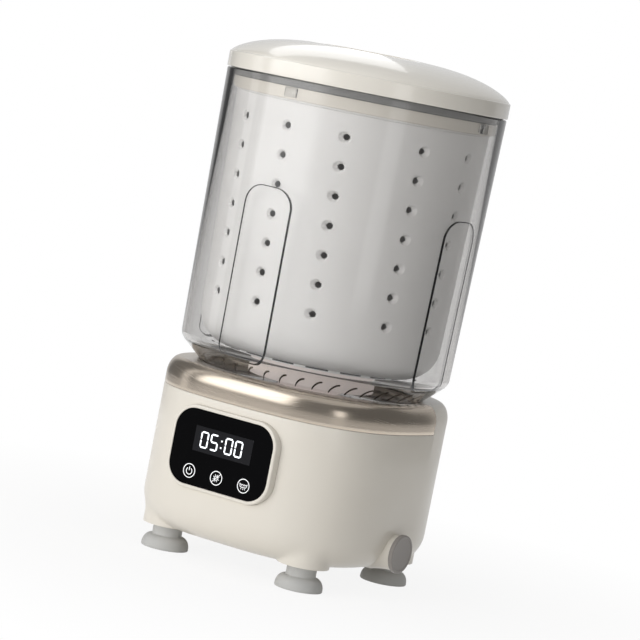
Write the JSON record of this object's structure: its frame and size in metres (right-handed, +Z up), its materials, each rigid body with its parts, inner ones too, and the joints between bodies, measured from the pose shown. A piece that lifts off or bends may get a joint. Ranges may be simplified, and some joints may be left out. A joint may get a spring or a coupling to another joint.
{
  "type": "desktop spin washer",
  "caption": "Small desktop spin washer: clear tub, perforated spin drum, lift-off lid, timer panel, side drain and suction feet.",
  "frame": {"origin": "on the drum's axis, on the surface that the suction cups stand on", "axes": "+Z up along the drum's axis, timer panel faces -Y, drain spout points to +X"},
  "size_m": [0.191, 0.191, 0.352],
  "materials": {
    "ivory_shell": "satin moulded ABS, warm ivory",
    "brushed_trim": "brushed stainless, champagne tint",
    "seat_metal": "satin stainless",
    "grey_rubber": "matte grey moulded rubber",
    "dark_rubber": "black nitrile rubber",
    "gasket_rubber": "dark grey silicone",
    "plated_steel": "zinc plated steel fasteners",
    "ground_steel": "ground bearing steel",
    "black_glass": "back-painted black glass, polished",
    "display_face": "dark filter film",
    "lit_digits": "lit white segments",
    "foam": "conductive foam",
    "circuit_board": "green solder mask",
    "dark_parts": "moulded component bodies",
    "lead_wire": "red insulation",
    "lamp_window": "frosted lamp window",
    "clear_tub": "clear polished copolyester",
    "white_drum": "moulded white polypropylene",
    "cast_alloy": "die-cast alloy",
    "magnet": "ferrite",
    "bronze_bush": "sintered bronze",
    "winding_copper": "enamelled copper windings",
    "drain_grey": "grey moulded plastic",
    "hose_grey": "grey hose",
    "hub_plastic": "pinkish grey moulded plastic"
  },
  "bodies": {
    "base": {"base_shell": "ivory_shell", "trim_ring": "brushed_trim", "tub_seat": "seat_metal", "seat_screws": "plated_steel", "bottom_cover": "ivory_shell", "bottom_screws": "plated_steel", "suction_feet": "grey_rubber", "foot_bolts": "plated_steel", "panel_frame": "ivory_shell", "panel_glass": "black_glass", "timer_display": "display_face", "timer_digits": "lit_digits", "touch_pads": "foam", "control_board": "circuit_board", "power_board": "circuit_board", "board_parts": "dark_parts", "power_jack": "dark_parts", "jack_nut": "plated_steel", "steriliser_lamp": "lamp_window", "wiring": "lead_wire", "outer_tub": "clear_tub", "tub_gasket": "gasket_rubber", "clamp_nut": "hub_plastic", "bearing_housing": "cast_alloy", "housing_screws": "plated_steel", "upper_bearing": "ground_steel", "lower_bearing": "ground_steel", "shaft_seal": "dark_rubber", "motor_plate": "cast_alloy", "motor_standoffs": "plated_steel", "motor_can": "plated_steel", "motor_magnets": "magnet", "motor_bushes": "bronze_bush", "drain_hose": "hose_grey", "drain_hose_clips": "plated_steel"},
    "drum": {"motor_rotor": "winding_copper", "motor_shaft": "ground_steel", "shaft_coupling": "cast_alloy", "drive_shaft": "ground_steel", "shaft_clip": "plated_steel", "drum_hub": "hub_plastic", "spin_drum": "white_drum", "hub_screws": "plated_steel", "pulsator": "white_drum", "cap_nut": "ground_steel"},
    "lid": {"lid_cover": "ivory_shell", "lid_liner": "ivory_shell", "lid_gasket": "gasket_rubber"},
    "drain_plug": {"drain_cap": "drain_grey", "drain_seal": "dark_rubber"}
  },
  "joints": [
    {"name": "drum_spin", "type": "hinge", "parent": "base", "child": "drum", "pos_m": [0, 0, 0.14], "axis": [0, 0, 1], "continuous": true},
    {"name": "lid_lift", "type": "slide", "parent": "base", "child": "lid", "axis": [0, 0, 1], "range_m": [0, 0.12]},
    {"name": "drain_pull", "type": "slide", "parent": "base", "child": "drain_plug", "axis": [1, 0, 0], "range_m": [0, 0.03]}
  ]
}
